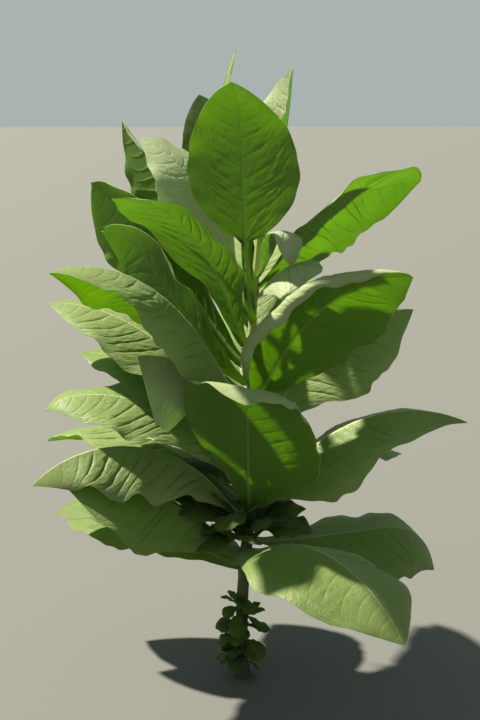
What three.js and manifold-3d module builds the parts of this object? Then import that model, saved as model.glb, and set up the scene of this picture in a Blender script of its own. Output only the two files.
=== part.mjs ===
// A field tobacco plant in full leaf, before it flowers: one upright stem, its big soft leaves set all round
// it, a few young leaves at the top and small side shoots low on the stem.
// Millimetres, +Z up. The origin is the middle of the flat cut at ground level. +X is to the right and -Y is
// to the front. A leaf's direction is in degrees, turned from +X towards +Y.
import * as THREE from "three";
import { mergeVertices } from "three/addons/utils/BufferGeometryUtils.js";
import Module from "manifold-3d";

const wasm = await Module();
wasm.setup();

// Driving dimensions
const stem = {
  height: 1010, // ground to the growing tip
  footRadius: 13.5,
  tipRadius: 5,
  flare: 6, // what the root collar adds at the ground
  flareHeight: 28,
  lean: 34, // how far the tip stands to the right of the foot
  sway: -5.5,
  swayLength: 620,
  sides: 10,
  rings: 22,
};
const clearance = 0.3; // between a leaf's foot and the stem
const bladeThickness = 0.0105; // a share of the leaf's length
const bladeRows = 12;
const bladeAcross = 7;
const ribShare = 0.07; // half of the midrib's width, as a share of half the blade at its widest
const tipHalfWidth = 2.5;
const fullCurlWidth = 45; // half the blade's width from which a half takes its whole curl
const squareFrom = 12; // distance from the midrib at which the blade's thickness is square to its surface
const elbow = { turn: 24, share: 0.16 }; // a leaf's foot leaves the stem flatter than the leaf then rises

// A leaf: at is its height on the stem and toward its direction. rise is the midrib's slope by the stem, and
// droop what it loses by the tip, later for a larger bend. nod is [a further turn down, where it begins].
// sweep turns the leaf sideways. roll turns the blade about the midrib, positive with its left side up as
// seen from the stem, and twist adds to that by the tip. left and right are [slope of that half beside the
// midrib, what the slope gains by the margin, its share of the half width]. widest is where along the leaf
// the blade is widest, and lop moves that outward on the left half and inward on the right. neck is the
// share of the length that stays narrow by the stem, taper draws in the blade after it, full rounds the far
// end, and wing is the width at the foot, left and right, as a share.
const usual = {
  droop: 45, bend: 1.6, nod: [0, 0.8], sweep: 0, roll: 0, twist: 0, left: [8, -30], right: [8, -30],
  widest: 0.54, lop: 0, neck: 0, taper: 1.9, full: 2.2, wing: [0.14, 0.14], ruffle: 6, waves: 3, phase: 0,
};
const leaves = {
  leaf_01_low_left: { at: 250, toward: 152, rise: 23, droop: 50, length: 468, width: 200, left: [-10, -25] },
  leaf_02_low_left: {
    at: 268, toward: 169, rise: 34, droop: 72, bend: 2, length: 446, width: 170, left: [-14, -20],
  },
  leaf_03_front_left: {
    at: 288, toward: 202, rise: 46, droop: 52, bend: 2, length: 448, width: 276, lop: 0.06,
    wing: [0.14, 0.42], roll: -22, twist: 22, left: [-34, -24], right: [-12, -22],
  },
  leaf_04_front_right: {
    at: 297, toward: -54, rise: 33, droop: 83, bend: 1.25, length: 506, width: 310,
    left: [-18, -20], right: [-8, -30], lop: 0.06, wing: [0.06, 0.42], ruffle: 7,
  },
  leaf_05_right: {
    at: 315, toward: 13, rise: 1, droop: -6, nod: [84, 0.56], length: 476, width: 220, full: 3,
    right: [-22, -40, 1.3], left: [2, -20], wing: [0.14, 0.06],
  },
  leaf_06_back: { at: 324, toward: 123, rise: 36, droop: 56, length: 420, width: 225, left: [-20, -24] },
  leaf_07_front_left: {
    at: 368, toward: 201, rise: 59, droop: 104, bend: 1.35, length: 524, width: 228,
    left: [-46, -28], right: [-34, -20], ruffle: 12, waves: 4,
  },
  leaf_08_front: {
    at: 384, toward: 267, rise: 67, droop: -2, nod: [104, 0.64], length: 414, width: 270,
    widest: 0.54, lop: -0.12, full: 2, left: [-6, -76, 1.24], right: [12, -14, 0.96], ruffle: 4,
  },
  leaf_09_right: {
    at: 404, toward: -6, rise: 54, droop: 80, bend: 1.55, length: 502, width: 280, twist: -16,
    right: [-50, -18], left: [0, -24], widest: 0.42, lop: 0.08, full: 1.35,
  },
  leaf_10_left: {
    at: 402, toward: 156, rise: 34, droop: 72, bend: 1.8, length: 525, width: 190,
    left: [-36, -16], twist: 46,
  },
  leaf_11_left: {
    at: 436, toward: 187, rise: 56, droop: 80, bend: 1.5, nod: [22, 0.85], length: 490, width: 205,
    lop: 0.08, left: [-26, -22], right: [6, -20],
  },
  leaf_12_right_back: { at: 378, toward: 28, rise: 36, droop: 66, length: 400, width: 205 },
  leaf_13_back: { at: 482, toward: 92, rise: 52, droop: 64, length: 450, width: 215 },
  leaf_14_left: { at: 512, toward: 164, rise: 48, droop: 56, length: 430, width: 200, left: [-12, -24] },
  leaf_15_right: {
    at: 548, toward: 18, rise: 58, droop: 60, length: 440, width: 255, right: [-46, -22], left: [-4, -20],
  },
  leaf_16_left: {
    at: 540, toward: 170, rise: 54, droop: 60, bend: 1.8, length: 522, width: 205,
    left: [-28, -24], right: [4, -20, 0.75],
  },
  leaf_17_front_left: {
    at: 560, toward: 197, rise: 78, droop: 81, bend: 0.9, length: 302, width: 206,
    widest: 0.7, taper: 3.4, full: 3.2, left: [-72, -10, 1.42], right: [-10, -20, 0.3], wing: [0.06, 0.06],
  },
  leaf_18_left_back: { at: 588, toward: 104, rise: 42, droop: 54, length: 440, width: 200 },
  leaf_19_front_left: {
    at: 606, toward: 206, rise: 61, droop: 80, bend: 2.2, length: 546, width: 246, lop: -0.1,
    roll: -44, twist: 58, left: [-25, -30], right: [-36, -44],
  },
  leaf_20_front_right: {
    at: 628, toward: -40, rise: 60, droop: 60, bend: 1.7, length: 475, width: 265, widest: 0.38, lop: 0.13,
    taper: 1.2, wing: [0.2, 0.2], right: [50, -215], left: [-38, -14],
  },
  leaf_21_left: {
    at: 652, toward: 165, rise: 46, droop: -14, bend: 1, nod: [52, 0.68], length: 446, width: 250, roll: 50,
    lop: -0.08, full: 3.6, left: [-6, -10, 0.7], right: [2, -6, 1.2],
  },
  leaf_22_right_back: { at: 656, toward: 64, rise: 50, droop: 60, length: 390, width: 200 },
  leaf_23_left_back: {
    at: 686, toward: 155, rise: 52, droop: 16, length: 516, width: 236, roll: 66, lop: -0.1, full: 5,
    left: [0, -20, 0.6], right: [8, -14, 1.34],
  },
  leaf_24_front_left: {
    at: 724, toward: 222, rise: 69, droop: 73, bend: 1.95, length: 486, width: 188, lop: -0.12, taper: 2.4,
    wing: [0.1, 0.2], left: [12, -24, 0.72], right: [-8, -14, 1.1],
  },
  leaf_25_back: { at: 742, toward: 88, rise: 50, droop: 50, length: 370, width: 180 },
  leaf_26_front: {
    at: 780, toward: 258, rise: 74, droop: -13, nod: [56, 0.64], length: 514, width: 222, widest: 0.61,
    neck: 0.35, taper: 0.72, full: 1.85, wing: [0.1, 0.1], left: [-4, -12], right: [6, -12], ruffle: 3,
  },
  leaf_27_left_back: {
    at: 798, toward: 146, rise: 53, droop: 6, length: 500, width: 224, roll: 64, full: 2.8,
    left: [-34, -10, 0.7], right: [-4, -12, 1.14],
  },
  leaf_28_right: {
    at: 850, toward: 12, rise: 63, droop: 62, bend: 1, length: 412, width: 276, lop: -0.12, widest: 0.52,
    full: 3.6, taper: 2.8, wing: [0.12, 0.06], right: [24, -14], left: [-38, -14, 1.25],
  },
  leaf_29_left: {
    at: 838, toward: 168, rise: 66, droop: 50, bend: 3.2, length: 388, width: 206, widest: 0.64, taper: 4,
    full: 1.5, left: [-30, -6], right: [34, -10, 0.66],
  },
  leaf_30_right: {
    at: 832, toward: -30, rise: 56, droop: 90, length: 170, width: 124, full: 3,
    right: [-46, -20, 1.3], ruffle: 3,
  },
  leaf_31_back: {
    at: 894, toward: 113, rise: 56, droop: 18, length: 456, width: 180, widest: 0.58, taper: 4,
    full: 1.6, left: [8, -30],
  },
  leaf_32_front_right: {
    at: 868, toward: -43, rise: 69, nod: [188, 0.3], droop: 0, length: 212, width: 102, widest: 0.7,
    full: 3.2, wing: [0.2, 0.2], left: [-10, -30, 0.56], right: [0, -30, 0.86], ruffle: 3,
  },
  leaf_33_right_back: {
    at: 934, toward: 48, rise: 69.5, droop: -16, length: 362, width: 176, left: [10, -10], right: [60, -10],
  },
  leaf_34_top_left: {
    at: 966, toward: 184, rise: 64, droop: -54, length: 362, width: 92, left: [22, -6], right: [22, -6],
  },
  leaf_35_top: {
    at: 990, toward: 90, rise: 84, droop: 4, length: 180, width: 46, left: [36, -6], right: [36, -6],
  },
  shoot_01_foot_left: { at: 40, toward: 196, rise: 30, droop: 70, length: 48, width: 34 },
  shoot_02_foot_front: { at: 66, toward: 300, rise: 20, droop: 80, length: 46, width: 32 },
  shoot_03_foot_left: { at: 96, toward: 214, rise: 24, droop: 120, length: 52, width: 36 },
  shoot_04_foot_right: { at: 140, toward: -20, rise: 40, droop: 40, length: 48, width: 34 },
  shoot_05_foot_left: { at: 166, toward: 196, rise: 46, length: 44, width: 28 },
  shoot_06_low_right: {
    at: 340, toward: -30, rise: 34, droop: 74, length: 150, width: 72, right: [-50, -20],
  },
  shoot_07_mid_left: { at: 476, toward: 230, rise: 60, droop: 50, length: 80, width: 44 },
  shoot_08_mid_front: { at: 448, toward: 258, rise: 70, droop: 30, length: 62, width: 30 },
};

const rad = THREE.MathUtils.degToRad;
const smooth = THREE.MathUtils.smoothstep;

// Stem
function stemCentre(z) {
  const up = z / stem.height;
  const x = stem.lean * up + stem.sway * Math.sin((2 * Math.PI * z) / stem.swayLength);
  return new THREE.Vector3(x, 0, z);
}

function stemRadius(z) {
  const up = z / stem.height;
  const taper = stem.tipRadius + (stem.footRadius - stem.tipRadius) * Math.pow(1 - up, 0.8);
  return taper + stem.flare * Math.exp(-z / stem.flareHeight);
}

// A cylinder whose rings are moved to the stem's centre line and set to its radius at that height.
function stemGeometry(grown = 0) {
  const made = new THREE.CylinderGeometry(1, 1, 1, stem.sides, stem.rings);
  made.rotateX(Math.PI / 2);
  const at = made.attributes.position;
  for (let i = 0; i < at.count; i++) {
    const share = at.getZ(i) + 0.5;
    const z = share * stem.height;
    const centre = stemCentre(z);
    const radius = stemRadius(z) + grown;
    at.setXYZ(i, centre.x + at.getX(i) * radius, centre.y + at.getY(i) * radius, z);
  }
  return made;
}

// Leaf
// The midrib as evenly spaced stations, each with its place, direction and the blade's side and up directions.
function midrib(leaf, foot) {
  const steps = 60;
  const stations = [];
  const place = foot.clone();
  for (let i = 0; i <= steps; i++) {
    const s = i / steps;
    const early = Math.max(0, 1 - s / elbow.share);
    const bent = leaf.droop * Math.pow(s, leaf.bend) + leaf.nod[0] * smooth(s, leaf.nod[1], 1);
    const slope = rad(leaf.rise - bent - elbow.turn * early * early);
    const turn = rad(leaf.toward + leaf.sweep * s);
    const along = new THREE.Vector3(
      Math.cos(slope) * Math.cos(turn),
      Math.cos(slope) * Math.sin(turn),
      Math.sin(slope),
    );
    const side = new THREE.Vector3(-Math.sin(turn), Math.cos(turn), 0);
    side.applyAxisAngle(along, rad(leaf.roll + leaf.twist * s));
    const up = new THREE.Vector3().crossVectors(along, side);
    stations.push({ place: place.clone(), along, side, up });
    place.addScaledVector(along, leaf.length / steps);
  }
  return stations;
}

// Half the blade's width as a share of its widest: a narrow winged foot, a full middle and a pointed tip.
function outline(leaf, s, v) {
  const peak = leaf.widest + Math.sign(v) * leaf.lop;
  const wing = leaf.wing[v > 0 ? 0 : 1];
  if (s < peak) {
    const grown = Math.max(0, (s - leaf.neck) / (peak - leaf.neck));
    return wing + (1 - wing) * Math.pow(Math.sin((Math.PI / 2) * grown), leaf.taper);
  }
  return Math.pow(1 - Math.pow((s - peak) / (1 - peak), leaf.full), 0.9);
}

// The blade's middle surface at s along the midrib and v across it, from -1 at the right margin to 1 at the
// left, and the direction through the blade there.
function bladePoint(leaf, stations, s, v) {
  const spot = s * (stations.length - 1);
  const low = Math.min(Math.floor(spot), stations.length - 2);
  const a = stations[low];
  const b = stations[low + 1];
  const mix = spot - low;
  const place = a.place.clone().lerp(b.place, mix);
  const side = a.side.clone().lerp(b.side, mix).normalize();
  const up = a.up.clone().lerp(b.up, mix).normalize();
  const [fold, fullCurl, share = 1] = v > 0 ? leaf.left : leaf.right;
  const half = Math.max((leaf.width / 2) * share * outline(leaf, s, v), tipHalfWidth);
  const curl = fullCurl * Math.min(1, half / fullCurlWidth);
  const reach = Math.abs(v);
  // The half's slope goes from fold at the midrib to fold + curl at the margin, most of it late.
  const steps = 8;
  let out = 0;
  let lift = 0;
  for (let i = 0; i < steps; i++) {
    const slope = rad(fold + curl * Math.pow((reach * (i + 0.5)) / steps, 3));
    out += (half * reach * Math.cos(slope)) / steps;
    lift += (half * reach * Math.sin(slope)) / steps;
  }
  const ease = smooth(s, 0.08, 0.35) * smooth(1 - s, 0, 0.2);
  const wave = Math.sin(2 * Math.PI * (leaf.waves * s + leaf.phase + (v > 0 ? 0 : 0.37)));
  lift += Math.min(leaf.ruffle, 0.03 * leaf.length) * reach * reach * ease * wave;
  place.addScaledVector(side, Math.sign(v) * out).addScaledVector(up, lift);
  const lean = rad(fold + curl * Math.pow(reach, 3)) * Math.min(1, (half * reach) / squareFrom);
  up.multiplyScalar(Math.cos(lean)).addScaledVector(side, -Math.sign(v) * Math.sin(lean));
  return { place, through: up };
}

// A subdivided box, bent to the blade: its length runs along the midrib, its width across and its height
// through the leaf. The middle strip stands out below as the midrib, of about one width all along.
function leafGeometry(leaf, foot) {
  const rows = leaf.length < 100 ? 4 : leaf.length < 200 ? 8 : bladeRows;
  const made = new THREE.BoxGeometry(1, 2, 1, rows, bladeAcross, 1);
  const stations = midrib(leaf, foot);
  const thick = Math.max(bladeThickness * leaf.length, 1.1);
  const inner = 1 / bladeAcross; // where the middle strip ends on the even box
  const at = made.attributes.position;
  for (let i = 0; i < at.count; i++) {
    const s = at.getX(i) + 0.5;
    const even = at.getY(i);
    const beside = Math.abs(even);
    const onRib = beside < inner + 0.01;
    const rib = Math.min(0.3, ribShare / outline(leaf, s, 0));
    const past = onRib ? 0 : Math.pow((beside - inner) / (1 - inner), 0.9);
    const v = Math.sign(even) * (rib + (1 - rib) * past);
    const { place, through } = bladePoint(leaf, stations, s, v);
    const below = onRib ? 0.5 + 1.1 * (1 - s) : 0.5;
    place.addScaledVector(through, at.getZ(i) > 0 ? 0.5 * thick : -below * thick);
    at.setXYZ(i, place.x, place.y, place.z);
  }
  return made;
}

function solidOf(geometry) {
  const bare = geometry.clone();
  bare.deleteAttribute("normal");
  bare.deleteAttribute("uv");
  const merged = mergeVertices(bare, 1e-3);
  return new wasm.Manifold(
    new wasm.Mesh({
      numProp: 3,
      vertProperties: merged.attributes.position.array,
      triVerts: new Uint32Array(merged.index.array),
    }),
  );
}

function geometryOf(solid) {
  const mesh = solid.getMesh();
  return new THREE.BufferGeometry()
    .setAttribute("position", new THREE.BufferAttribute(mesh.vertProperties, 3))
    .setIndex(new THREE.BufferAttribute(mesh.triVerts, 1));
}

// The largest body of a solid, without the loose scraps that a cut leaves.
function largest(solid) {
  const bodies = solid.decompose();
  return bodies.reduce((best, body) => (body.volume() > best.volume() ? body : best));
}

const stemGrown = solidOf(stemGeometry(clearance));

// A leaf's foot starts at the stem's skin on the side that the leaf grows towards, and is cut to fit round it.
function leafSolid(leaf) {
  const centre = stemCentre(leaf.at);
  const out = new THREE.Vector3(Math.cos(rad(leaf.toward)), Math.sin(rad(leaf.toward)), 0);
  const foot = centre.addScaledVector(out, stemRadius(leaf.at) * 0.8);
  return largest(solidOf(leafGeometry(leaf, foot)).subtract(stemGrown));
}

const leafGreen = new THREE.MeshStandardMaterial({ color: 0x6f8f3f, roughness: 0.6, metalness: 0 });
const youngGreen = new THREE.MeshStandardMaterial({ color: 0xa9b86a, roughness: 0.65, metalness: 0 });
const stemGreen = new THREE.MeshStandardMaterial({ color: 0x6d8a35, roughness: 0.7, metalness: 0 });

const plant = new THREE.Group();

function add(name, geometry, material) {
  const mesh = new THREE.Mesh(geometry, material);
  mesh.name = name;
  plant.add(mesh);
}

add("stem", geometryOf(solidOf(stemGeometry())), stemGreen);
for (const [name, sizes] of Object.entries(leaves)) {
  const leaf = { ...usual, ...sizes };
  add(name, geometryOf(leafSolid(leaf)), leaf.length < 340 ? youngGreen : leafGreen);
}

export default plant;
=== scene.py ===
# A field tobacco plant in full leaf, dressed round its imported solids: fine leaves with veins, a stem with
# relief, side shoots, young leaves at the tip and a plain studio.
import math

import bpy
import numpy as np
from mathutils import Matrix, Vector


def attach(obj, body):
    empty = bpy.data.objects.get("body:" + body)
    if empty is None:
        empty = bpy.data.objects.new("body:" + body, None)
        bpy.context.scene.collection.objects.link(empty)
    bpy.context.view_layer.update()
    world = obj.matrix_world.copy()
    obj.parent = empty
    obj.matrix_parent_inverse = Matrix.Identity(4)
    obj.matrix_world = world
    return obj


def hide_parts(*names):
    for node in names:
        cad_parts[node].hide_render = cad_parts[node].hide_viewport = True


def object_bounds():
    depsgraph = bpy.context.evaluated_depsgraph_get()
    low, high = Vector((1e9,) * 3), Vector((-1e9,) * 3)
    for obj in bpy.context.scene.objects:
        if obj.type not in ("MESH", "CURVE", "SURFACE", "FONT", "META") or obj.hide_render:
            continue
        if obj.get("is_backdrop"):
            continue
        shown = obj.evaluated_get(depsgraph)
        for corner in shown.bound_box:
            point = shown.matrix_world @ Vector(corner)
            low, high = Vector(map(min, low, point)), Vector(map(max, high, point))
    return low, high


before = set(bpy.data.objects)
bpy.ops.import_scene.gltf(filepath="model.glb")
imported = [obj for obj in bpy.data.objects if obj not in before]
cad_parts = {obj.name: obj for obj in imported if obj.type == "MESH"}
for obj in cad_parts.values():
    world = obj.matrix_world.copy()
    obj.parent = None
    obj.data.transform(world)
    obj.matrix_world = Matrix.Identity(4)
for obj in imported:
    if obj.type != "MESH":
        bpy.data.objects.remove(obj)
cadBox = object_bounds()
print("frame loaded:", len(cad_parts), "nodes")

mm = 0.001
bpy.ops.object.select_all(action="DESELECT")

# Stem and leaf sizes, in millimetres and degrees, as the part's source has them. A leaf's at is its height
# on the stem and toward its direction. left and right are the slope of that half beside the midrib, what
# the slope gains by the margin and the half's share of the width.
stemShape = dict(
    height=1010, footRadius=13.5, tipRadius=5, flare=6, flareHeight=28,
    lean=34, sway=-5.5, swayLength=620,
)
elbow = dict(turn=24, share=0.16)  # a leaf's foot leaves the stem flatter than the leaf then rises
tipHalfWidth = 2.5
fullCurlWidth = 45  # half the blade's width from which a half takes its whole curl
midribSteps = 60
curlSteps = 12
holeSnap = 2.4
usualLeaf = dict(
    droop=45, bend=1.6, nod=(0, 0.8), sweep=0, roll=0, twist=0, left=(8, -30), right=(8, -30),
    widest=0.54, lop=0, neck=0, taper=1.9, full=2.2, wing=(0.14, 0.14), ruffle=6, waves=3, phase=0,
)
leaves = {
    "leaf_01_low_left": dict(at=250, toward=152, rise=23, droop=50, length=468, width=200, left=(-10, -25)),
    "leaf_02_low_left": dict(
        at=268, toward=169, rise=34, droop=72, bend=2, length=446, width=170, left=(-14, -20),
    ),
    "leaf_03_front_left": dict(
        at=288, toward=202, rise=46, droop=52, bend=2, length=448, width=276, lop=0.06,
        wing=(0.14, 0.42), roll=-22, twist=22, left=(-34, -24), right=(-12, -22),
    ),
    "leaf_04_front_right": dict(
        at=297, toward=-54, rise=33, droop=83, bend=1.25, length=506, width=310,
        left=(-18, -20), right=(-8, -30), lop=0.06, wing=(0.06, 0.42), ruffle=7,
    ),
    "leaf_05_right": dict(
        at=315, toward=13, rise=1, droop=-6, nod=(84, 0.56), length=476, width=220, full=3,
        right=(-22, -40, 1.3), left=(2, -20), wing=(0.14, 0.06),
    ),
    "leaf_06_back": dict(at=324, toward=123, rise=36, droop=56, length=420, width=225, left=(-20, -24)),
    "leaf_07_front_left": dict(
        at=368, toward=201, rise=59, droop=104, bend=1.35, length=524, width=228,
        left=(-46, -28), right=(-34, -20), ruffle=12, waves=4,
    ),
    "leaf_08_front": dict(
        at=384, toward=267, rise=67, droop=-2, nod=(104, 0.64), length=414, width=270,
        widest=0.54, lop=-0.12, full=2, left=(-6, -76, 1.24), right=(12, -14, 0.96), ruffle=4,
    ),
    "leaf_09_right": dict(
        at=404, toward=-6, rise=54, droop=80, bend=1.55, length=502, width=280, twist=-16,
        right=(-50, -18), left=(0, -24), widest=0.42, lop=0.08, full=1.35,
    ),
    "leaf_10_left": dict(
        at=402, toward=156, rise=34, droop=72, bend=1.8, length=525, width=190,
        left=(-36, -16), twist=46,
    ),
    "leaf_11_left": dict(
        at=436, toward=187, rise=56, droop=80, bend=1.5, nod=(22, 0.85), length=490, width=205,
        lop=0.08, left=(-26, -22), right=(6, -20),
    ),
    "leaf_12_right_back": dict(at=378, toward=28, rise=36, droop=66, length=400, width=205),
    "leaf_13_back": dict(at=482, toward=92, rise=52, droop=64, length=450, width=215),
    "leaf_14_left": dict(at=512, toward=164, rise=48, droop=56, length=430, width=200, left=(-12, -24)),
    "leaf_15_right": dict(
        at=548, toward=18, rise=58, droop=60, length=440, width=255, right=(-46, -22), left=(-4, -20),
    ),
    "leaf_16_left": dict(
        at=540, toward=170, rise=54, droop=60, bend=1.8, length=522, width=205,
        left=(-28, -24), right=(4, -20, 0.75),
    ),
    "leaf_17_front_left": dict(
        at=560, toward=197, rise=78, droop=81, bend=0.9, length=302, width=206,
        widest=0.7, taper=3.4, full=3.2, left=(-72, -10, 1.42), right=(-10, -20, 0.3), wing=(0.06, 0.06),
    ),
    "leaf_18_left_back": dict(at=588, toward=104, rise=42, droop=54, length=440, width=200),
    "leaf_19_front_left": dict(
        at=606, toward=206, rise=61, droop=80, bend=2.2, length=546, width=246, lop=-0.1,
        roll=-44, twist=58, left=(-25, -30), right=(-36, -44),
    ),
    "leaf_20_front_right": dict(
        at=628, toward=-40, rise=60, droop=60, bend=1.7, length=475, width=265, widest=0.38, lop=0.13,
        taper=1.2, wing=(0.2, 0.2), right=(50, -215), left=(-38, -14),
    ),
    "leaf_21_left": dict(
        at=652, toward=165, rise=46, droop=-14, bend=1, nod=(52, 0.68), length=446, width=250, roll=50,
        lop=-0.08, full=3.6, left=(-6, -10, 0.7), right=(2, -6, 1.2),
    ),
    "leaf_22_right_back": dict(at=656, toward=64, rise=50, droop=60, length=390, width=200),
    "leaf_23_left_back": dict(
        at=686, toward=155, rise=52, droop=16, length=516, width=236, roll=66, lop=-0.1, full=5,
        left=(0, -20, 0.6), right=(8, -14, 1.34),
    ),
    "leaf_24_front_left": dict(
        at=724, toward=222, rise=69, droop=73, bend=1.95, length=486, width=188, lop=-0.12, taper=2.4,
        wing=(0.1, 0.2), left=(12, -24, 0.72), right=(-8, -14, 1.1),
    ),
    "leaf_25_back": dict(at=742, toward=88, rise=50, droop=50, length=370, width=180),
    "leaf_26_front": dict(
        at=780, toward=258, rise=74, droop=-13, nod=(56, 0.64), length=514, width=222, widest=0.61,
        neck=0.35, taper=0.72, full=1.85, wing=(0.1, 0.1), left=(-4, -12), right=(6, -12), ruffle=3,
    ),
    "leaf_27_left_back": dict(
        at=798, toward=146, rise=53, droop=6, length=500, width=224, roll=64, full=2.8,
        left=(-34, -10, 0.7), right=(-4, -12, 1.14),
    ),
    "leaf_28_right": dict(
        at=850, toward=12, rise=63, droop=62, bend=1, length=412, width=276, lop=-0.12, widest=0.52,
        full=3.6, taper=2.8, wing=(0.12, 0.06), right=(24, -14), left=(-38, -14, 1.25),
    ),
    "leaf_29_left": dict(
        at=838, toward=168, rise=66, droop=50, bend=3.2, length=388, width=206, widest=0.64, taper=4,
        full=1.5, left=(-30, -6), right=(34, -10, 0.66),
    ),
    "leaf_30_right": dict(
        at=832, toward=-30, rise=56, droop=90, length=170, width=124, full=3,
        right=(-46, -20, 1.3), ruffle=3,
    ),
    "leaf_31_back": dict(
        at=894, toward=113, rise=56, droop=18, length=456, width=180, widest=0.58, taper=4,
        full=1.6, left=(8, -30),
    ),
    "leaf_32_front_right": dict(
        at=868, toward=-43, rise=69, nod=(188, 0.3), droop=0, length=212, width=102, widest=0.7,
        full=3.2, wing=(0.2, 0.2), left=(-10, -30, 0.56), right=(0, -30, 0.86), ruffle=3,
    ),
    "leaf_33_right_back": dict(
        at=934, toward=48, rise=69.5, droop=-16, length=362, width=176, left=(10, -10), right=(60, -10),
    ),
    "leaf_34_top_left": dict(
        at=966, toward=184, rise=64, droop=-54, length=362, width=92, left=(22, -6), right=(22, -6),
    ),
    "leaf_35_top": dict(
        at=990, toward=90, rise=84, droop=4, length=180, width=46, left=(36, -6), right=(36, -6),
    ),
    "shoot_01_foot_left": dict(at=40, toward=196, rise=30, droop=70, length=48, width=34),
    "shoot_02_foot_front": dict(at=66, toward=300, rise=20, droop=80, length=46, width=32),
    "shoot_03_foot_left": dict(at=96, toward=214, rise=24, droop=120, length=52, width=36),
    "shoot_04_foot_right": dict(at=140, toward=-20, rise=40, droop=40, length=48, width=34),
    "shoot_05_foot_left": dict(at=166, toward=196, rise=46, length=44, width=28),
    "shoot_06_low_right": dict(
        at=340, toward=-30, rise=34, droop=74, length=150, width=72, right=(-50, -20),
    ),
    "shoot_07_mid_left": dict(at=476, toward=230, rise=60, droop=50, length=80, width=44),
    "shoot_08_mid_front": dict(at=448, toward=258, rise=70, droop=30, length=62, width=30),
}
# What the fine blade adds to each leaf's shape. Widths, heights and depths are shares of the leaf's length,
# unless they say millimetres.
fineLeaf = dict(
    thickness=0.8,  # of the blade, in millimetres
    ribWidth=0.025,  # of the midrib at its foot
    ribThinning=0.93,  # what the midrib loses by the tip, as a share of its width
    ribStep=(0, 0.4, 0.75),  # columns of faces over half the midrib
    veinBow=0.19,  # how far a side vein runs on towards the tip
    veinHeight=0.9,  # in millimetres
    veinWander=(0.22, 0.16),  # unevenness of a side vein's foot and of its course, as a share of the gap
    quilt=0.0030,  # how deep the crease over a side vein is
    crease=0.08,  # half of the crease's width, as a share of the gap between side veins
    creaseUneven=0.8,
    pucker=0.0017,  # wrinkles between the creases
    frill=0.0045,  # waves of the margin
    ragged=0.009,  # unevenness of the outline
    columns=20,  # of faces on each side of the midrib
)
leafTouches = {  # leaves that differ from the rule, and holes as (along, across, radius)
    "leaf_07_front_left": dict(quilt=0.006, frill=0.009),
    # the silver skin on leaves 08, 17 and 20 is lighter and paler, as painted sunlight
    "leaf_08_front": dict(frill=0.011, quilt=0.0022, skinTone="paintedSunlit"),
    "leaf_10_left": dict(quilt=0.0038),
    "leaf_11_left": dict(quilt=0.004, holes=[(0.52, 0.9, 5), (0.5, 0.97, 6), (0.48, 0.9, 4)]),
    "leaf_16_left": dict(quilt=0.0038),
    "leaf_19_front_left": dict(ribWidth=0.036, holes=[(0.62, -0.52, 3), (0.45, 0.4, 3.5)]),
    "leaf_04_front_right": dict(quilt=0.0016, holes=[(0.56, 0.1, 2.5)]),
    "leaf_05_right": dict(quilt=0.002),
    "leaf_09_right": dict(quilt=0.0022),
    "leaf_17_front_left": dict(skinTone="paintedSunlit", quilt=0.0014, pucker=0.0008),
    "leaf_27_left_back": dict(quilt=0.0008, pucker=0.0006),
    "leaf_20_front_right": dict(quilt=0.0022, skinTone="paintedSunlit"),
    "leaf_24_front_left": dict(quilt=0.0026),
    "leaf_26_front": dict(quilt=0.0011),
    "leaf_29_left": dict(skinTone="young", quilt=0.0016, pucker=0.0009, ragged=0.02),
    "leaf_30_right": dict(skinTone="young"),
    # leaf_31 wears the dusky skin, darkened as painted shade
    "leaf_31_back": dict(skinTone="paintedShade"),
    "leaf_32_front_right": dict(skinTone="young"),
    "leaf_33_right_back": dict(skinTone="young"),
    "leaf_34_top_left": dict(skinTone="young"),
    "leaf_35_top": dict(skinTone="young"),
}


def smooth(x, low, high):  # from 0 at low to 1 at high
    t = np.clip((x - low) / (high - low), 0, 1)
    return t * t * (3 - 2 * t)


# Stem rule
def stemCentre(z):
    up = z / stemShape["height"]
    swayed = stemShape["sway"] * np.sin(2 * np.pi * z / stemShape["swayLength"])
    x = stemShape["lean"] * up + swayed
    return np.stack([x, np.zeros_like(x), z], axis=-1)


def stemRadius(z):
    up = np.clip(z / stemShape["height"], 0, 1)
    taper = stemShape["tipRadius"] + (stemShape["footRadius"] - stemShape["tipRadius"]) * (1 - up) ** 0.8
    return taper + stemShape["flare"] * np.exp(-z / stemShape["flareHeight"])


# Leaf rule
def midrib(leaf):
    s = np.linspace(0, 1, midribSteps + 1)
    early = np.clip(1 - s / elbow["share"], 0, None)
    nod, nodFrom = leaf["nod"]
    bent = leaf["droop"] * s ** leaf["bend"] + nod * smooth(s, nodFrom, 1)
    slope = np.radians(leaf["rise"] - bent - elbow["turn"] * early**2)
    turn = np.radians(leaf["toward"] + leaf["sweep"] * s)
    along = np.stack([np.cos(slope) * np.cos(turn), np.cos(slope) * np.sin(turn), np.sin(slope)], axis=-1)
    level = np.stack([-np.sin(turn), np.cos(turn), np.zeros_like(turn)], axis=-1)
    roll = np.radians(leaf["roll"] + leaf["twist"] * s)[:, None]
    side = level * np.cos(roll) + np.cross(along, level) * np.sin(roll)
    out = np.array([math.cos(math.radians(leaf["toward"])), math.sin(math.radians(leaf["toward"])), 0])
    foot = stemCentre(np.float64(leaf["at"])) + out * stemRadius(leaf["at"]) * 0.8
    steps = np.vstack([np.zeros(3), np.cumsum(along[:-1], axis=0)]) * leaf["length"] / midribSteps
    return dict(s=s, place=foot + steps, side=side, up=np.cross(along, side))


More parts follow.
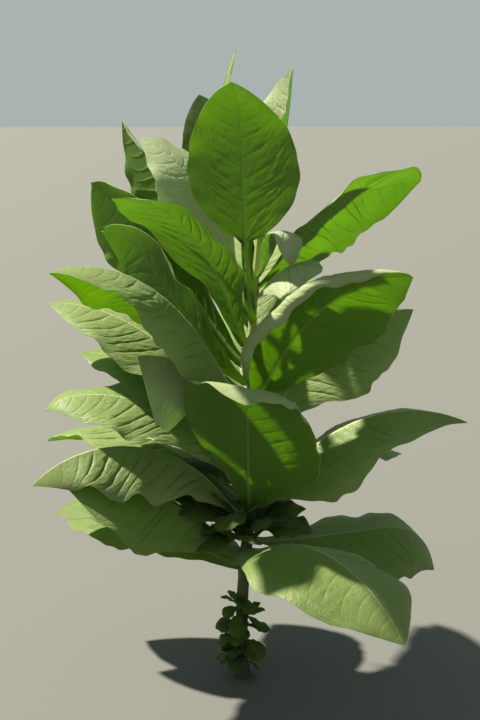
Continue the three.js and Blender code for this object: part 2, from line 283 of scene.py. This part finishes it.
def outline(leaf, s, half):  # half the width there, as a share of its most
    peak = leaf["widest"] + half * leaf["lop"]
    wing = np.where(half > 0, leaf["wing"][0], leaf["wing"][1])
    grown = np.clip((s - leaf["neck"]) / (peak - leaf["neck"]), 0, 1)
    near = wing + (1 - wing) * np.sin(np.pi / 2 * grown) ** leaf["taper"]
    far = (1 - np.clip((s - peak) / (1 - peak), 0, 1) ** leaf["full"]) ** 0.9
    return np.where(s < peak, near, far)


def spread(line, name, s):
    return np.stack([np.interp(s, line["s"], line[name][:, k]) for k in range(3)], axis=-1)


def halfValue(leaf, v, k):  # fold, curl and share of the width of the half that v lies on
    left, right = (half + (1.0,) if len(half) == 2 else half for half in (leaf["left"], leaf["right"]))
    return np.where(v > 0, left[k], right[k])


def bladePoints(leaf, line, s, v, waves):  # s runs along the leaf, v from -1 to 1 across it
    half = np.where(v > 0, 1.0, -1.0)
    reach = np.abs(v)
    fold, curl, share = (halfValue(leaf, v, k) for k in range(3))
    uneven = 1 + leaf["ragged"] * waves(s, half, 9)
    width = np.maximum(leaf["width"] / 2 * share * outline(leaf, s, half) * uneven, leaf["tipWidth"])
    curl = curl * np.minimum(1, width / fullCurlWidth)
    out, lift = np.zeros_like(s), np.zeros_like(s)
    for i in range(curlSteps):
        slope = np.radians(fold + curl * (reach * (i + 0.5) / curlSteps) ** 3)
        out += width * reach * np.cos(slope) / curlSteps
        lift += width * reach * np.sin(slope) / curlSteps
    ease = smooth(s, 0.08, 0.35) * smooth(1 - s, 0, 0.2)
    offset = np.where(v > 0, 0, 0.37)
    wave = np.sin(2 * np.pi * (leaf["waves"] * s + leaf["phase"] + offset))
    lift += min(leaf["ruffle"], 0.03 * leaf["length"]) * reach**2 * ease * wave
    lift += leaf["frill"] * leaf["length"] * reach**5 * ease * waves(s, half, 7)
    place = spread(line, "place", s)
    side = spread(line, "side", s)
    up = spread(line, "up", s)
    side /= np.linalg.norm(side, axis=-1, keepdims=True)
    up /= np.linalg.norm(up, axis=-1, keepdims=True)
    return place + side * (half * out)[..., None] + up * lift[..., None], width


def unevenWaves(chance):  # a sum of sines that is different on each half of the leaf
    phases = chance.uniform(0, 2 * np.pi, (6, 2))
    rates = chance.uniform(0.6, 1.5, (6, 2))

    def waves(s, half, rate):
        total = np.zeros_like(s)
        for k in range(6):
            side = np.where(half > 0, phases[k, 0], phases[k, 1])
            pace = np.where(half > 0, rates[k, 0], rates[k, 1])
            total += np.sin(2 * np.pi * rate * pace * s + side)
        return total / 2.4

    return waves


def veinRows(leaf, perVein):  # the rows of faces, counted in side veins from the foot
    count = max(4, round(leaf["length"] / (14 + 0.04 * leaf["length"])))
    k = np.arange(2 * count * perVein + 1)
    turn = (k % perVein) / perVein
    crowded = turn - 0.12 * np.sin(2 * np.pi * turn)  # rows stand closer by the veins
    w = (k // perVein + crowded) / 2
    return count, w


def wrinkles(leaf, w, reach, chance):
    total = np.zeros_like(w)
    for k in range(9):
        a, b = chance.uniform(0.6, 2.2), chance.uniform(2, 7)
        lean = chance.uniform(-0.8, 0.8)
        first, second = chance.uniform(0, 2 * np.pi, 2)
        total += np.sin(2 * np.pi * (a * w + lean * reach) + first) * np.sin(2 * np.pi * b * reach + second)
    return leaf["pucker"] * leaf["length"] * total / 3


def bladeGrid(leaf, waves, perVein):  # rows follow the side veins and columns the midrib
    count, w = veinRows(leaf, perVein)
    q = w / count
    footWander, courseWander = leaf["veinWander"]
    q = q + footWander / count * waves(q, np.ones_like(q), 3) * np.sin(np.pi * q) ** 0.5
    ribHalf = leaf["ribWidth"] * leaf["length"] / 2 * (1 - leaf["ribThinning"] * q**0.75)
    middle = np.maximum(leaf["width"] / 2 * outline(leaf, q, np.ones_like(q)), leaf["tipWidth"])
    ribEdge = np.minimum(1.15 * ribHalf / middle, 0.5)[:, None]
    inner = len(leaf["ribStep"])
    k = np.arange(leaf["columns"] + 1)
    beyond = np.clip((k - inner) / (leaf["columns"] - inner), 0, 1)[None, :]
    reach = ribEdge + (1 - ribEdge) * beyond
    reach[:, :inner] = ribEdge * np.array(leaf["ribStep"])
    v = np.hstack([-reach[:, :0:-1], reach])
    reach = np.abs(v)
    bow = leaf["veinBow"] * np.sin(np.pi * q)[:, None]
    s = q[:, None] + bow * (0.42 * reach + 0.58 * reach**2)
    s = s + courseWander / count * waves(s, np.sign(v), 4) * reach
    wide = np.repeat(w[:, None], v.shape[1], axis=1)
    return count, wide, s, v, ribHalf[:, None]


def cutHoles(leaf, s, v):  # the rows by a hole move onto its edge
    gone = np.zeros(v.shape, bool)
    for along, across, radius in leaf.get("holes", ()):
        span = leaf["width"] / 2 * outline(leaf, np.float64(along), np.float64(np.sign(across)))
        a, b = (s - along) * leaf["length"], (v - across) * span
        far = np.hypot(a, b)
        scale = np.where(np.abs(far - radius) < holeSnap, radius / np.maximum(far, 0.1), 1)
        s = along + a * scale / leaf["length"]
        v = across + b * scale / span
        gone |= np.hypot(a * scale, b * scale) < radius + 0.2
    keep = ~(gone[:-1, :-1] & gone[1:, :-1] & gone[1:, 1:] & gone[:-1, 1:])
    return np.clip(s, 0, 1), np.clip(v, -1, 1), keep


def fineBlade(leaf, seed, perVein=6):
    chance = np.random.default_rng(seed)
    waves = unevenWaves(chance)
    count, wide, s, v, ribHalf = bladeGrid(leaf, waves, perVein)
    s, v, keep = cutHoles(leaf, s, v)
    reach = np.abs(v)
    points, width = bladePoints(leaf, midrib(leaf), s, v, waves)
    normal = np.cross(np.gradient(points, axis=0), np.gradient(points, axis=1))
    normal /= np.maximum(np.linalg.norm(normal, axis=-1, keepdims=True), 1e-9)

    gap = leaf["length"] / count
    veinAt = wide + np.where(v < 0, 0.5, 0)
    beside = np.abs(veinAt - np.round(veinAt)) * gap  # distance from the nearest side vein
    ribs = reach * width / np.maximum(ribHalf, 0.4)
    onRib = np.clip(1 - ribs**2, 0, 1)
    bloom = smooth(reach, 0.02, 0.3) * (1 - 0.88 * smooth(reach, 0.6, 0.98))  # none at the rib and margin
    bloom *= smooth(s, 0.05, 0.22) * smooth(1 - s, 0.06, 0.34)
    strong = 1 + leaf["creaseUneven"] * waves(s, np.sign(v), 4) * (0.4 + 0.6 * reach)
    bulge = leaf["quilt"] * leaf["length"] * strong * (0.1 - np.exp(-beside / (leaf["crease"] * gap)))
    relief = bloom * (bulge + wrinkles(leaf, wide, reach, chance))
    veins = np.exp(-((beside / (0.06 * gap)) ** 2)) * (1 - reach) ** 0.7
    veins = veins * smooth(s, 0.03, 0.12) * (1 - onRib)
    ridge = leaf["veinHeight"] * min(1, leaf["length"] / 350) * veins
    rib = ribHalf * (0.95 * np.sqrt(onRib))
    channel = 0.35 * ribHalf * onRib**2
    thick = leaf["thickness"] * min(1, leaf["length"] / 300 + 0.3) / 2
    top = points + normal * (relief + thick - 0.5 * ridge - channel)[..., None]
    under = points + normal * (relief - thick - ridge - rib)[..., None]
    return top, under, keep, wide, v, s, np.where(v < 0, -ribs, ribs)


def shellOf(top, under, keep):  # closes the two skins with walls along every open edge
    rows, cols = keep.shape
    index = np.arange((rows + 1) * (cols + 1)).reshape(rows + 1, cols + 1)
    a, b, c, d = index[:-1, :-1], index[1:, :-1], index[1:, 1:], index[:-1, 1:]
    below = index.size
    cell = np.arange(rows * cols).reshape(rows, cols)
    quads = [np.stack([a, b, c, d], -1)[keep], np.stack([a, d, c, b], -1)[keep] + below]
    cells = [cell[keep], cell[keep]]
    slots = [np.zeros(keep.sum(), int), np.ones(keep.sum(), int)]
    wide = np.pad(keep, 1)
    sides = (
        (a, b, ~wide[1:-1, :-2]), (b, c, ~wide[2:, 1:-1]),
        (c, d, ~wide[1:-1, 2:]), (d, a, ~wide[:-2, 1:-1]),
    )
    for first, second, bare in sides:
        edge = keep & bare
        wall = np.stack([second, first, first + below, second + below], -1)[edge]
        quads.append(wall)
        cells.append(cell[edge])
        slots.append(np.zeros(len(wall), int))
    points = np.concatenate([top.reshape(-1, 3), under.reshape(-1, 3)])
    return points, np.concatenate(quads), np.concatenate(cells), np.concatenate(slots)


def bladePart(leaf, seed, perVein=6):
    top, under, keep, wide, v, s, ribs = fineBlade(leaf, seed, perVein)
    points, quads, cells, slots = shellOf(top, under, keep)
    size = top.shape[0] * top.shape[1]
    place = quads % size
    columnOf = cells % keep.shape[1]
    onRight = (columnOf < keep.shape[1] // 2)[:, None]
    veinU = wide.ravel()[place] + np.where(onRight, 0.5, 0)
    veinUv = np.stack([veinU, v.ravel()[place]], -1)
    ribUv = np.stack([s.ravel()[place], ribs.ravel()[place]], -1)
    used, back = np.unique(quads, return_inverse=True)
    quads = back.reshape(quads.shape)
    return dict(points=points[used] * mm, quads=quads, slots=slots, veins=veinUv, rib=ribUv)


def meshObject(name, parts, materials):
    start = 0
    points, quads, slots, veins, rib = [], [], [], [], []
    for part in parts:
        points.append(part["points"])
        quads.append(part["quads"] + start)
        start += len(part["points"])
        slots.append(part["slots"])
        veins.append(part["veins"])
        rib.append(part["rib"])
    mesh = bpy.data.meshes.new(name)
    mesh.from_pydata(np.concatenate(points).tolist(), [], np.concatenate(quads).tolist())
    mesh.polygons.foreach_set("material_index", np.concatenate(slots).astype(np.int32))
    for layerName, values in (("veins", veins), ("rib", rib)):
        layer = mesh.uv_layers.new(name=layerName)
        layer.uv.foreach_set("vector", np.concatenate(values).astype(np.float32).ravel())
    for material in materials:
        mesh.materials.append(material)
    made = bpy.data.objects.new(name, mesh)
    bpy.context.collection.objects.link(made)
    bpy.context.view_layer.objects.active = made
    made.select_set(True)
    bpy.ops.object.shade_smooth_by_angle(angle=math.radians(62))
    made.select_set(False)
    return made


# Materials
def addNode(tree, kind, values=None, **settings):
    made = tree.nodes.new(kind)
    for key, value in settings.items():
        setattr(made, key, value)
    for key, value in (values or {}).items():
        if isinstance(value, bpy.types.NodeSocket):
            tree.links.new(value, made.inputs[key])
        else:
            made.inputs[key].default_value = value
    return made


def calc(tree, operation, *values):
    return addNode(tree, "ShaderNodeMath", dict(enumerate(values)), operation=operation).outputs[0]


def ramp(tree, value, low, high, start=0.0, end=1.0):
    values = {"Value": value, "From Min": low, "From Max": high, "To Min": start, "To Max": end}
    return addNode(tree, "ShaderNodeMapRange", values, interpolation_type="SMOOTHSTEP").outputs[0]


def noise(tree, place, scale, detail):
    values = {"Vector": place, "Scale": scale, "Detail": detail}
    return addNode(tree, "ShaderNodeTexNoise", values).outputs[0]


def blend(tree, share, first, second):
    made = addNode(tree, "ShaderNodeMix", data_type="RGBA")
    for key, value in ((0, share), (6, first), (7, second)):
        if isinstance(value, bpy.types.NodeSocket):
            tree.links.new(value, made.inputs[key])
        else:
            made.inputs[key].default_value = (*value, 1) if key > 0 and len(value) == 3 else value
    return made.outputs[2]


def newMaterial(name, look):
    material = bpy.data.materials.new(name)
    material.use_nodes = True
    material.diffuse_color = (*look["blade"], 1)
    material.node_tree.nodes.clear()
    return material, material.node_tree


# Pattern of the leaf skins, on the veins map (counted in side veins, and across) and on the object itself
leafPattern = dict(
    netAlong=4.2, netAcross=13.0, netWidth=0.09,  # cells of the vein net for each side vein and each half
    thinVein=0.45, thinWidth=0.5,  # of a thin vein between two side veins, against a side vein
    wrinkleSize=0.75, blotchSize=9.0, grainSize=420.0, grainRise=0.10,
    bump=0.8, bumpHeight=0.0011, tipFade=(0.99, 0.72),  # the wrinkles end towards the tip
    throughVeinShare=0.6, downRoughness=0.45, downTint=(0.85, 0.95, 0.8),
)


def leafMaterial(name, look):
    material, tree = newMaterial(name, look)
    pattern = leafPattern
    veinMap = addNode(tree, "ShaderNodeUVMap", uv_map="veins").outputs[0]
    veinPlace = addNode(tree, "ShaderNodeSeparateXYZ", {0: veinMap})
    ribMap = addNode(tree, "ShaderNodeUVMap", uv_map="rib").outputs[0]
    ribPlace = addNode(tree, "ShaderNodeSeparateXYZ", {0: ribMap})
    spot = addNode(tree, "ShaderNodeTexCoord").outputs["Object"]
    reach = calc(tree, "ABSOLUTE", veinPlace.outputs[1])
    beside = calc(tree, "PINGPONG", veinPlace.outputs[0], 0.5)
    width = calc(tree, "MULTIPLY", calc(tree, "SUBTRACT", 1.08, reach), look["veinWidth"])
    sideVein = ramp(tree, calc(tree, "DIVIDE", beside, width), 1.0, 0.35)
    between = calc(tree, "SUBTRACT", 0.5, beside)
    thinMost = look["veinWidth"] * pattern["thinWidth"]
    thin = calc(tree, "MULTIPLY", calc(tree, "SUBTRACT", 0.8, reach), thinMost)
    thinLine = ramp(tree, calc(tree, "DIVIDE", between, thin), 1.0, 0.3)
    sideVein = calc(tree, "MAXIMUM", sideVein, calc(tree, "MULTIPLY", thinLine, pattern["thinVein"]))
    middle = ramp(tree, calc(tree, "ABSOLUTE", ribPlace.outputs[1]), 1.05, 0.7)
    lines = calc(tree, "MAXIMUM", sideVein, middle)
    netU = calc(tree, "MULTIPLY", veinPlace.outputs[0], pattern["netAlong"])
    netV = calc(tree, "MULTIPLY", veinPlace.outputs[1], pattern["netAcross"])
    netPlace = addNode(tree, "ShaderNodeCombineXYZ", {0: netU, 1: netV}).outputs[0]
    net = addNode(
        tree, "ShaderNodeTexVoronoi", {"Vector": netPlace, "Scale": 1.0},
        voronoi_dimensions="2D", feature="DISTANCE_TO_EDGE",
    )
    netLine = ramp(tree, net.outputs["Distance"], pattern["netWidth"], 0.0)
    cells = noise(tree, netPlace, pattern["wrinkleSize"], 2.0)
    blotch = ramp(tree, noise(tree, spot, pattern["blotchSize"], 2.0), 0.35, 0.68)
    grain = noise(tree, spot, pattern["grainSize"], 1.0)
    colour = blend(tree, blotch, look["blade"], look["tint"])
    colour = blend(tree, calc(tree, "MULTIPLY", netLine, look["netShare"]), colour, look["vein"])
    colour = blend(tree, calc(tree, "MULTIPLY", sideVein, look["veinShare"]), colour, look["vein"])
    colour = blend(tree, middle, colour, look["rib"])
    height = calc(tree, "MULTIPLY", lines, look["veinRise"])
    height = calc(tree, "ADD", height, calc(tree, "MULTIPLY", netLine, look["netRise"]))
    faded = calc(tree, "MULTIPLY", cells, ramp(tree, ribPlace.outputs[0], *pattern["tipFade"]))
    height = calc(tree, "ADD", height, calc(tree, "MULTIPLY", faded, look["crinkle"]))
    height = calc(tree, "ADD", height, calc(tree, "MULTIPLY", grain, pattern["grainRise"]))
    bump = addNode(
        tree, "ShaderNodeBump",
        {"Strength": pattern["bump"], "Distance": pattern["bumpHeight"], "Height": height},
    ).outputs[0]
    skin = addNode(
        tree, "ShaderNodeBsdfPrincipled",
        {"Base Color": colour, "Roughness": look["roughness"], "Specular IOR Level": look["gloss"],
         "Sheen Weight": look["down"], "Sheen Roughness": pattern["downRoughness"], "Normal": bump},
    )
    skin.inputs["Sheen Tint"].default_value = (*pattern["downTint"], 1)
    through = blend(tree, blotch, look["through"], look["throughTint"])
    veinShare = calc(tree, "MULTIPLY", lines, pattern["throughVeinShare"])
    through = blend(tree, veinShare, through, look["throughVein"])
    glow = addNode(tree, "ShaderNodeBsdfTranslucent", {"Color": through, "Normal": bump})
    mixed = addNode(tree, "ShaderNodeMixShader", {0: look["glow"], 1: skin.outputs[0], 2: glow.outputs[0]})
    addNode(tree, "ShaderNodeOutputMaterial", {0: mixed.outputs[0]})
    return material


# Upper and lower skin of a leaf. glow is the share of the light that comes through
upperLook = dict(
    blade=(0.165, 0.240, 0.060), tint=(0.210, 0.285, 0.086),
    vein=(0.36, 0.46, 0.18), rib=(0.48, 0.57, 0.26),
    veinShare=0.42, netShare=0.08, veinWidth=0.03, veinRise=-0.7, netRise=-0.4, crinkle=2.2,
    roughness=0.5, gloss=0.35, down=0.22, glow=0.38,
    through=(0.34, 0.60, 0.012), throughTint=(0.29, 0.52, 0.01), throughVein=(0.28, 0.44, 0.02),
)
underLook = dict(
    upperLook,
    blade=(0.085, 0.150, 0.020), tint=(0.105, 0.185, 0.028),
    vein=(0.20, 0.29, 0.07), rib=(0.22, 0.32, 0.09),
    veinShare=0.5, veinWidth=0.036, veinRise=0.9, netRise=0.3, crinkle=-1.4,
    roughness=0.6, gloss=0.25, down=0.2, glow=0.6,
    through=(0.46, 0.68, 0.010), throughTint=(0.38, 0.60, 0.010), throughVein=(0.38, 0.54, 0.03),
)
silverGreen = (0.50, 0.55, 0.37)


def shaded(look, lighter, paler):  # lighter scales the colours, and paler moves them towards silver green
    made = dict(look)
    pale = np.array(silverGreen)
    for name in ("blade", "tint", "vein", "rib"):
        colour = np.array(look[name]) * lighter
        made[name] = tuple(float(x) for x in colour * (1 - paler) + pale * paler)
    for name in ("down", "gloss"):
        made[name] = look[name] * min(1, lighter)
    return made


agesAndPaintedLight = {  # lighter, paler, and the height on the stem up to which this tone reaches, 0 where it is asked for. Some tones are painted shade, as marked below
    # painted shade: the low leaves' colours are darkened for the shade of the leaves above them
    "low": (0.78, 0.0, 330),
    "middle": (1.0, 0.03, 640),
    "high": (1.08, 0.08, 1000),
    "young": (1.2, 0.68, 2000),
    # painted shade: leaf_31's skin is darkened for the shade it stands in at the back of the plant
    "paintedShade": (0.13, 0.0, 0),
    # painted shade: the side shoots and tufts are darkened for the shade deep in the plant
    "shade": (0.4, 0.0, 0),
}
leafSkins = {}
for skinTone, (lighter, paler, _) in agesAndPaintedLight.items():
    leafSkins[skinTone] = [
        leafMaterial(skinTone + "LeafUpper", shaded(upperLook, lighter, paler)),
        leafMaterial(skinTone + "LeafUnder", shaded(underLook, lighter, paler)),
    ]
# painted sunlight: a lighter, paler upper skin for leaves whose upper side stands in sunlight
paintedSunlitUpper = leafMaterial("paintedSunlitLeafUpper", shaded(upperLook, lighter=1.25, paler=0.4))
leafSkins["paintedSunlit"] = [paintedSunlitUpper, leafSkins["middle"][1]]


def skinsFor(leaf):
    if leaf.get("skinTone"):
        return leafSkins[leaf["skinTone"]]
    for skinTone, (_, _, top) in agesAndPaintedLight.items():
        if leaf["at"] < top:
            return leafSkins[skinTone]


def fullLeaf(sizes, **touches):
    leaf = dict(usualLeaf, **fineLeaf)
    leaf["tipWidth"] = min(tipHalfWidth, 0.006 * sizes["length"])
    leaf.update(sizes)
    leaf.update(touches)
    return leaf


# Leaves
longLeaf = 300  # from this length a leaf has more rows between its side veins
fineCount = 0
for seed, (node, sizes) in enumerate(leaves.items()):
    if node.startswith("shoot"):
        continue
    leaf = fullLeaf(sizes, **leafTouches.get(node, {}))
    perVein = 6 if leaf["length"] > longLeaf else 4
    piece = meshObject(node + "_blade", [bladePart(leaf, seed, perVein)], skinsFor(leaf))
    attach(piece, "root")
    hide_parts(node)
    fineCount += len(piece.data.polygons)
print("leaves done:", fineCount, "faces")

# Side shoots, each a small tuft round the leaf that the solid stands for
sprig = dict(turns=(0, 40, -42.5, 75, -77.5), sizes=(1, 0.85, 0.8, 0.6, 0.55), rises=(0, 10, 14, 30, 36))
smallLeaf = dict(columns=8, ribWidth=0.05)
for seed, (node, sizes) in enumerate(leaves.items()):
    if not node.startswith("shoot"):
        continue
    parts = []
    for k, (turn, size, rise) in enumerate(zip(sprig["turns"], sprig["sizes"], sprig["rises"])):
        small = fullLeaf(sizes, **smallLeaf)
        small.update(toward=sizes["toward"] + turn, rise=sizes["rise"] + rise)
        small.update(length=sizes["length"] * size, width=sizes["width"] * size)
        parts.append(bladePart(small, 100 + seed * 5 + k, 3))
    # the sprigs wear the shade skin, darkened as painted shade
    piece = meshObject(node + "_sprig", parts, leafSkins["shade"])
    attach(piece, "root")
    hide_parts(node)
tufts = {  # small leaves close round the stem, between the shoots
    "footTuft": dict(
        heights=(22, 180), turns=(0, 360), count=25, lengths=(30, 66), slender=0.74,
        rise=4, droop=90, seed=21,
    ),
    "middleTuft": dict(
        heights=(300, 486), turns=(0, 360), count=28, lengths=(60, 165), slender=0.46,
        rise=44, droop=66, seed=22,
    ),
    "leftTuft": dict(
        heights=(300, 384), turns=(150, 228), count=15, lengths=(100, 190), slender=0.5,
        rise=34, droop=34, seed=23,
    ),
}
tuftLeaf = dict(
    turnStep=0.382, riseSpread=28, droopSpread=20, rollSpread=30,  # the first is a share of the tuft's turn
    widest=0.6, full=2.6, left=(-14, -30), right=(-14, -30), ruffle=3, clearOfFront=62,
)


def tuftLeaves(tuft):
    chance = np.random.default_rng(tuft["seed"])
    low, high = tuft["heights"]
    turnLow, turnHigh = tuft["turns"]
    front = leaves["leaf_08_front"]
    parts = []
    for k in range(tuft["count"]):
        length = chance.uniform(*tuft["lengths"])
        at = chance.uniform(low, high)
        toward = turnLow + (turnHigh - turnLow) * (tuftLeaf["turnStep"] * k % 1)
        rise = tuft["rise"] + chance.uniform(-tuftLeaf["riseSpread"], tuftLeaf["riseSpread"])
        droop = tuft["droop"] + chance.uniform(-tuftLeaf["droopSpread"], tuftLeaf["droopSpread"])
        roll = chance.uniform(-tuftLeaf["rollSpread"], tuftLeaf["rollSpread"])
        if at > front["at"] and abs(toward - front["toward"]) < tuftLeaf["clearOfFront"]:
            continue  # it would pass through the big front leaf
        shape = {key: tuftLeaf[key] for key in ("widest", "full", "left", "right", "ruffle")}
        shape.update(at=at, toward=toward, rise=rise, droop=droop, roll=roll)
        shape.update(length=length, width=length * tuft["slender"])
        parts.append(bladePart(fullLeaf(shape, **smallLeaf), 400 + k, 3))
    return parts


for name, tuft in tufts.items():
    # the tufts wear the shade skin, darkened as painted shade
    piece = meshObject(name, tuftLeaves(tuft), leafSkins["shade"])
    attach(piece, "root")
print("side shoots done")

# Young leaves round the growing tip
bud = dict(
    count=9, heights=(948, 1006), lengths=(120, 34), rises=(62, 84), slender=0.3,
    turnStep=137.5, turnStart=20, droop=-14, droopSpread=8, half=(38, 12), ruffle=2, columns=10, seed=7,
)
chance = np.random.default_rng(bud["seed"])
parts = []
for k in range(bud["count"]):
    share = k / (bud["count"] - 1)
    ranges = (bud["heights"], bud["lengths"], bud["rises"])
    at, length, rise = (first + (last - first) * share for first, last in ranges)
    shape = dict(at=at, toward=bud["turnStart"] + bud["turnStep"] * k, rise=rise)
    shape.update(droop=bud["droop"] + chance.uniform(-bud["droopSpread"], bud["droopSpread"]))
    shape.update(length=length, width=length * bud["slender"], ruffle=bud["ruffle"])
    shape.update(left=bud["half"], right=bud["half"])
    small = fullLeaf(shape, columns=bud["columns"], ribWidth=smallLeaf["ribWidth"])
    parts.append(bladePart(small, 300 + k, 4))
budPiece = meshObject("budLeaves", parts, leafSkins["young"])
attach(budPiece, "root")
print("bud done")

# Stem
stemRelief = dict(  # in millimetres, with widths round the stem in radians
    sides=56, rings=230, ribs=7, ribHeight=0.45,
    cushion=3.2, cushionWide=0.55, cushionTall=13,  # swelling under each leaf
    scar=1.8, scarTurn=137.5, scarStart=-70,  # of fallen leaves
    scarHeights=(52, 84, 117, 139, 168, 196, 222),
    ledgeWide=0.5, ledgeTall=5, hollowWide=0.3, hollowTall=3, hollowAbove=4,
)
stemLook = dict(  # heights in metres
    blade=(0.16, 0.25, 0.06), darkGreen=(0.035, 0.055, 0.011), green=(0.065, 0.090, 0.020),
    topGreen=(0.26, 0.33, 0.08), topFrom=0.5, topTo=0.85,
    brown=(0.048, 0.042, 0.016), brownFrom=0.24, brownTo=0.02,
    streakSize=260.0, streakStretch=(1, 1, 0.12), patchSize=22.0, fineSize=900.0,
    bump=0.55, bumpHeight=0.0009, roughness=0.6, gloss=0.35, down=0.1,
)


def stemSkin():
    look = stemLook
    material, tree = newMaterial("stemSkin", look)
    spot = addNode(tree, "ShaderNodeTexCoord").outputs["Object"]
    height = addNode(tree, "ShaderNodeSeparateXYZ", {0: spot}).outputs[2]
    stretched = addNode(tree, "ShaderNodeMapping", {"Vector": spot, "Scale": look["streakStretch"]})
    streak = noise(tree, stretched.outputs[0], look["streakSize"], 3.0)
    patch = noise(tree, spot, look["patchSize"], 3.0)
    fine = noise(tree, spot, look["fineSize"], 1.0)
    green = blend(tree, ramp(tree, streak, 0.4, 0.62), look["darkGreen"], look["green"])
    green = blend(tree, ramp(tree, height, look["topFrom"], look["topTo"]), green, look["topGreen"])
    lowDown = ramp(tree, height, look["brownFrom"], look["brownTo"])
    brownShare = calc(tree, "MULTIPLY", lowDown, ramp(tree, patch, 0.3, 0.6, 0.35, 1.0))
    colour = blend(tree, brownShare, green, look["brown"])
    rise = calc(tree, "ADD", streak, calc(tree, "MULTIPLY", fine, 0.35))
    bumpValues = {"Strength": look["bump"], "Distance": look["bumpHeight"], "Height": rise}
    bump = addNode(tree, "ShaderNodeBump", bumpValues).outputs[0]
    skin = addNode(
        tree, "ShaderNodeBsdfPrincipled",
        {"Base Color": colour, "Roughness": look["roughness"], "Specular IOR Level": look["gloss"],
         "Sheen Weight": look["down"], "Normal": bump},
    )
    addNode(tree, "ShaderNodeOutputMaterial", {0: skin.outputs[0]})
    return material


def swelling(across, along):  # 1 in the middle, fading both ways
    return np.exp(-(across**2)) * np.exp(-(along**2))


def makeStem():
    bpy.ops.object.select_all(action="DESELECT")
    bpy.ops.mesh.primitive_cylinder_add(vertices=stemRelief["sides"], radius=1, depth=1)
    made = bpy.context.active_object
    made.name = made.data.name = "stemBark"
    bpy.ops.object.mode_set(mode="EDIT")
    bpy.ops.mesh.select_mode(type="EDGE")
    bpy.ops.mesh.select_all(action="DESELECT")
    bpy.ops.object.mode_set(mode="OBJECT")
    points = made.data.vertices
    for edge in made.data.edges:
        a, b = (points[i].co for i in edge.vertices)
        edge.select = abs(a.z - b.z) > 0.5  # the upright ones
    bpy.ops.object.mode_set(mode="EDIT")
    bpy.ops.mesh.subdivide(number_cuts=stemRelief["rings"])
    bpy.ops.object.mode_set(mode="OBJECT")
    at = np.empty(len(points) * 3)
    points.foreach_get("co", at)
    at = at.reshape(-1, 3)
    angle = np.arctan2(at[:, 1], at[:, 0])
    z = (at[:, 2] + 0.5) * stemShape["height"]
    radius = stemRadius(z)
    radius += stemRelief["ribHeight"] * np.sin(stemRelief["ribs"] * angle + z / 60) * smooth(z, 30, 120)
    for leaf in leaves.values():
        turn = math.radians(leaf["toward"])
        away = np.angle(np.exp(1j * (angle - turn)))
        size = stemRelief["cushion"] * min(1, leaf["length"] / 400)
        up = (z - leaf["at"]) / stemRelief["cushionTall"]
        radius += size * swelling(away / stemRelief["cushionWide"], up + 0.35)
    for k, scarAt in enumerate(stemRelief["scarHeights"]):
        turn = math.radians(stemRelief["scarStart"] + k * stemRelief["scarTurn"])
        away = np.angle(np.exp(1j * (angle - turn)))
        above = z - scarAt
        ledge = swelling(away / stemRelief["ledgeWide"], above / stemRelief["ledgeTall"])
        above = above - stemRelief["hollowAbove"]
        hollow = swelling(away / stemRelief["hollowWide"], above / stemRelief["hollowTall"])
        radius += stemRelief["scar"] * (ledge - 0.6 * hollow)
    radius *= np.hypot(at[:, 0], at[:, 1])
    centre = stemCentre(z)
    at = centre + np.stack([np.cos(angle) * radius, np.sin(angle) * radius, np.zeros_like(z)], -1)
    points.foreach_set("co", (at * mm).ravel())
    made.data.update()
    made.data.materials.append(stemSkin())
    bpy.ops.object.shade_smooth_by_angle(angle=math.radians(50))
    made.select_set(False)
    return made


stemPiece = makeStem()
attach(stemPiece, "root")
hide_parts("stem")
print("stem done")

# Studio
studio = dict(
    floorSize=400, floorColour=(0.099, 0.103, 0.096), sky=(0.84, 0.97, 0.92), skyStrength=0.47,
    keyPlace=(-1.2, 1.6, 3.2), keyTurn=(-35, 0, 73), keySoftness=2,
    keyPower=13, keyColour=(1.0, 0.92, 0.78),
)
bpy.ops.mesh.primitive_plane_add(size=studio["floorSize"])
floor = bpy.context.active_object
floor.name = floor.data.name = "floor"
floorPaint = bpy.data.materials.new("floorPaint")
floorPaint.use_nodes = True
floorSkin = floorPaint.node_tree.nodes["Principled BSDF"]
floorSkin.inputs["Base Color"].default_value = (*studio["floorColour"], 1)
floorSkin.inputs["Roughness"].default_value = 0.9
floor.data.materials.append(floorPaint)
floor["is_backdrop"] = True

world = bpy.data.worlds.new("studioSky")
bpy.context.scene.world = world
world.use_nodes = True
world.node_tree.nodes["Background"].inputs["Color"].default_value = (*studio["sky"], 1)
world.node_tree.nodes["Background"].inputs["Strength"].default_value = studio["skyStrength"]

keyTurn = [math.radians(turn) for turn in studio["keyTurn"]]
# from behind, high on the left
bpy.ops.object.light_add(type="SUN", location=studio["keyPlace"], rotation=keyTurn)
keyLight = bpy.context.active_object
keyLight.name = "keyLight"
keyLight.data.angle = math.radians(studio["keySoftness"])
keyLight.data.energy = studio["keyPower"]
keyLight.data.color = studio["keyColour"]

# Camera, as the photograph sees the plant
cameraAt = dict(place=(-0.0045, -2.23, 1.176), down=12.09, lens=56)
bpy.ops.object.camera_add(location=cameraAt["place"], rotation=(math.radians(90 - cameraAt["down"]), 0, 0))
camera = bpy.context.active_object
camera.data.lens = cameraAt["lens"]
bpy.context.scene.camera = camera
bpy.context.scene.view_settings.view_transform = "Standard"
print("studio done")

sizes = dict(cad=[list(corner) for corner in cadBox], visual=[list(corner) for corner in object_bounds()])
